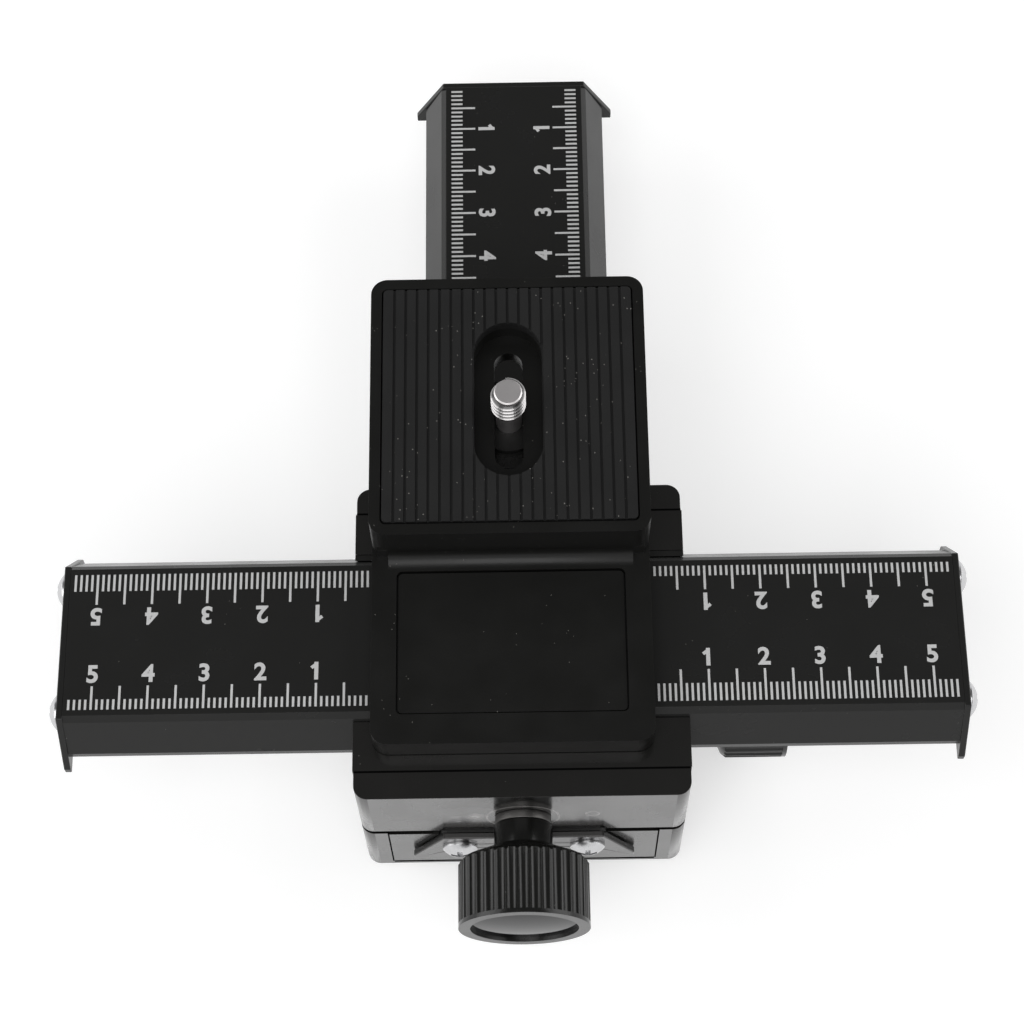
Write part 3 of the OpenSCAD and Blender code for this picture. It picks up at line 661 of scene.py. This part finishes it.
def lathe(profile, place, name, material, body):
    """Spins a profile of (radius, height) points round Z, and then places it."""
    mesh = bmesh.new()
    points = [mesh.verts.new((r, 0, z)) for r, z in profile]
    edges = [mesh.edges.new(pair) for pair in zip(points, points[1:])]
    bmesh.ops.spin(mesh, geom=points + edges, axis=(0, 0, 1), cent=(0, 0, 0),
                   angle=2 * math.pi, steps=LATHE_STEPS, use_merge=True)
    bmesh.ops.remove_doubles(mesh, verts=mesh.verts, dist=LATHE_MERGE)
    bmesh.ops.transform(mesh, matrix=place, verts=mesh.verts)
    piece = object_from(name, mesh, material, body)
    piece.data.shade_smooth()
    piece.data.set_sharp_from_angle(angle=LATHE_SHARP)
    return piece


print("The lathe takes", LATHE_STEPS, "steps in one turn")

# %% Turn the screw's core
NECK_RADIUS = 2.4 * MM
CHAMFER = 0.8 * MM
TIP_CUT = 0.3 * CHAMFER
core_profile = [
    (0, screw_low[2]), (NECK_RADIUS, screw_low[2]), (NECK_RADIUS, thread_low),
    (ROOT_RADIUS, thread_low), (ROOT_RADIUS, screw_high[2] - TIP_CUT),
    (ROOT_RADIUS - TIP_CUT, screw_high[2]), (0, screw_high[2])]
screw_core = lathe(core_profile, Matrix.Translation(screw_axis), "camera_screw_core",
                   tip_steel, "camera_screw")
print("Core faces:", len(screw_core.data.polygons))

# %% Wind the thread's ridge round the core
PITCH = 1.27 * MM
ROOT_HALF, CREST_HALF = 0.46 * PITCH, 0.08 * PITCH  # half a ridge's height at root and crest
RIDGE_OVERLAP = 0.1 * MM
SPARE_TURNS = 0.6
STEPS_PER_TURN = 40
HELIX_MERGE = 0.0001 * MM
helix = bmesh.new()
ridge = [(ROOT_RADIUS - RIDGE_OVERLAP, -ROOT_HALF), (CREST_RADIUS, -CREST_HALF),
         (CREST_RADIUS, CREST_HALF), (ROOT_RADIUS - RIDGE_OVERLAP, ROOT_HALF)]
first = [helix.verts.new((r, 0, thread_low + PITCH / 2 + z)) for r, z in ridge]
section = helix.faces.new(first)
turns = (THREAD_LENGTH - CHAMFER) / PITCH - SPARE_TURNS
steps = int(turns * STEPS_PER_TURN)
bmesh.ops.spin(helix, geom=[section], axis=(0, 0, 1), cent=(0, 0, 0),
               dvec=(0, 0, PITCH / STEPS_PER_TURN), angle=2 * math.pi * steps / STEPS_PER_TURN,
               steps=steps)
bmesh.ops.remove_doubles(helix, verts=helix.verts, dist=HELIX_MERGE)
bmesh.ops.translate(helix, vec=screw_axis, verts=helix.verts)
thread = object_from("camera_screw_thread", helix, thread_steel, "camera_screw")
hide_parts("camera_screw")
print("Thread turns:", round(turns, 1), "faces:", len(thread.data.polygons))

# %% Darken the thread towards its root: painted shade in the grooves between its turns
# Painted shade: the colour grows darker from just below the crests down to the root.
UNSHADED_DEPTH = 0.02 * MM
SHADE_ABOVE_ROOT = 0.25 * MM
ROOT_SHADE = (0.03, 0.03, 0.03)
SHADE_STRENGTH = 0.9
thread_tree = thread_steel.node_tree
from_axis = thread_tree.nodes.new("ShaderNodeMapping")
from_axis.inputs["Location"].default_value = (-screw_axis.x, -screw_axis.y, 0)
from_axis.inputs["Scale"].default_value = (1, 1, 0)  # without height, the length is a radius
axis_distance = thread_tree.nodes.new("ShaderNodeVectorMath")
axis_distance.operation = "LENGTH"
depth = thread_tree.nodes.new("ShaderNodeMapRange")
depth.inputs["From Min"].default_value = CREST_RADIUS - UNSHADED_DEPTH
depth.inputs["From Max"].default_value = ROOT_RADIUS + SHADE_ABOVE_ROOT
thread_place = thread_tree.nodes.new("ShaderNodeTexCoord")
thread_tree.links.new(thread_place.outputs["Object"], from_axis.inputs["Vector"])
thread_tree.links.new(from_axis.outputs[0], axis_distance.inputs[0])
thread_tree.links.new(axis_distance.outputs["Value"], depth.inputs["Value"])
blend_in(thread_steel, depth.outputs["Result"], ROOT_SHADE, SHADE_STRENGTH)
print("Thread darkened", round((THREAD_DEPTH - SHADE_ABOVE_ROOT) / MM, 2), "mm below its crests")

# %% [markdown]
# ## Domed caps in the knobs
# The polished disc in each knob's face bulges almost to the knob's rim. CAD keeps it
# flat. A squashed half sphere could stand in for it, but that is steep at its edge, and
# the real disc isn't. So it is a slice of a large sphere on a straight edge, and it is spun
# like the screw.

# %% Dome the caps
CAP_SAG = 0.6 * MM
CAP_BELOW_FACE = 0.15 * MM
CAP_ARC_STEPS = 12


def add_domed_cap(stage, body, outward):
    """Replaces a flat cap. outward is the way its polished side looks."""
    low, high = (Vector(corner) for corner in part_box(stage + "_knob_cap"))
    face = max(Vector(corner).dot(outward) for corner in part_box(stage + "_focus_knob"))
    inner = min(low.dot(outward), high.dot(outward))
    rim = max(high - low) / 2
    height = face - CAP_BELOW_FACE - inner
    ball = (rim ** 2 + CAP_SAG ** 2) / (2 * CAP_SAG)
    profile = [(0, 0), (rim, 0)]
    for step in range(CAP_ARC_STEPS + 1):
        r = rim * (1 - step / CAP_ARC_STEPS)
        profile.append((r, height - ball + math.sqrt(ball ** 2 - r ** 2)))
    middle = (low + high) / 2
    seat = middle + outward * (inner - middle.dot(outward))
    turn = outward.to_track_quat("Z", "Y").to_matrix().to_4x4()
    cap = lathe(profile, Matrix.Translation(seat) @ turn, stage + "_domed_cap",
                gloss_black, body)
    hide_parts(stage + "_knob_cap")


add_domed_cap("upper", "x_drive", Vector((0, -1, 0)))
add_domed_cap("lower", "y_drive", Vector((1, 0, 0)))
print("Caps domed by, in mm:", CAP_SAG / MM)

# %% [markdown]
# ## The floor, the lamps and the white background
# The rail stands on a white table. What the camera and shiny surfaces see of the table is
# lifted to white, while the rail's shadow still falls on it. Stronger lamps could make the
# table white too, but the black finishes would turn grey under them. Large soft lamps light
# the rail from above its front and from both sides, and the world fills the shadows.

# %% The white table
TABLE_REACH = 600 * MM
TABLE_GREY = 0.6
TABLE_ROUGHNESS = 0.9
TABLE_LIFT = 0.52
floor_mesh = bmesh.new()
bmesh.ops.create_grid(floor_mesh, x_segments=1, y_segments=1, size=TABLE_REACH)
bmesh.ops.translate(floor_mesh, vec=(0, 0, cad_box[0][2]), verts=floor_mesh.verts)
floor_data = bpy.data.meshes.new("white_table")
floor_mesh.to_mesh(floor_data)
floor_mesh.free()
floor = bpy.data.objects.new("white_table", floor_data)
bpy.context.scene.collection.objects.link(floor)


def lifted_rays(tree):
    """1 for camera, glossy and transmission rays, otherwise 0."""
    rays = tree.nodes.new("ShaderNodeLightPath")
    seen = math_node(tree, "MAXIMUM", rays.outputs["Is Camera Ray"],
                     rays.outputs["Is Glossy Ray"])
    return math_node(tree, "MAXIMUM", seen, rays.outputs["Is Transmission Ray"])


table_white = bpy.data.materials.new("white table")
table_white.use_nodes = True
table_shader = table_white.node_tree.nodes["Principled BSDF"]
table_shader.inputs["Base Color"].default_value = (TABLE_GREY, TABLE_GREY, TABLE_GREY, 1)
table_shader.inputs["Roughness"].default_value = TABLE_ROUGHNESS
table_shader.inputs["Emission Color"].default_value = (1, 1, 1, 1)
table_tree = table_white.node_tree
table_lift = math_node(table_tree, "MULTIPLY", lifted_rays(table_tree), TABLE_LIFT)
table_tree.links.new(table_lift, table_shader.inputs["Emission Strength"])
floor_data.materials.append(table_white)
print("Table:", round(2 * TABLE_REACH / MM), "mm square")

# %% The world: white walls under a grey ceiling, and a plain grey as a light
WORLD_LIGHT = 0.19
WALLS_END, WALLS_START = 0.7, 0.5  # upward share of a ray where the walls end and start to fade
world = bpy.data.worlds.new("studio")
bpy.context.scene.world = world
world.use_nodes = True
world_tree = world.node_tree
background = world_tree.nodes["Background"]
background.inputs["Color"].default_value = (1, 1, 1, 1)
looking = world_tree.nodes.new("ShaderNodeTexCoord")
upwards = world_tree.nodes.new("ShaderNodeSeparateXYZ")
world_tree.links.new(looking.outputs["Generated"], upwards.inputs[0])
walls = world_tree.nodes.new("ShaderNodeMapRange")
walls.inputs["From Min"].default_value = WALLS_END
walls.inputs["From Max"].default_value = WALLS_START
world_tree.links.new(upwards.outputs["Z"], walls.inputs["Value"])
lift = math_node(world_tree, "MULTIPLY", lifted_rays(world_tree), walls.outputs["Result"])
lift = math_node(world_tree, "MULTIPLY", lift, 1 - WORLD_LIGHT)
world_strength = math_node(world_tree, "ADD", lift, WORLD_LIGHT)
world_tree.links.new(world_strength, background.inputs["Strength"])
print("World light:", WORLD_LIGHT)

# %% Soft lamps
AIM_MM = (0, 20, 30)  # near the middle of the object


def softbox(name, place_mm, size_mm, watts):
    """A square lamp that points at the object."""
    data = bpy.data.lights.new(name, "AREA")
    data.size = size_mm * MM
    data.energy = watts
    lamp = bpy.data.objects.new(name, data)
    bpy.context.scene.collection.objects.link(lamp)
    start, end = Vector(place_mm) * MM, Vector(AIM_MM) * MM
    turn = (end - start).to_track_quat("-Z", "Y").to_matrix().to_4x4()
    lamp.matrix_world = Matrix.Translation(start) @ turn
    print(name, "at", place_mm, "mm,", watts, "W")


softbox("front_lamp", place_mm=(-120, -500, 900), size_mm=800, watts=6.0)
softbox("left_lamp", place_mm=(-750, 60, 420), size_mm=700, watts=3.4)
softbox("right_lamp", place_mm=(750, 160, 420), size_mm=700, watts=3.2)
bpy.context.scene.view_settings.view_transform = "Standard"
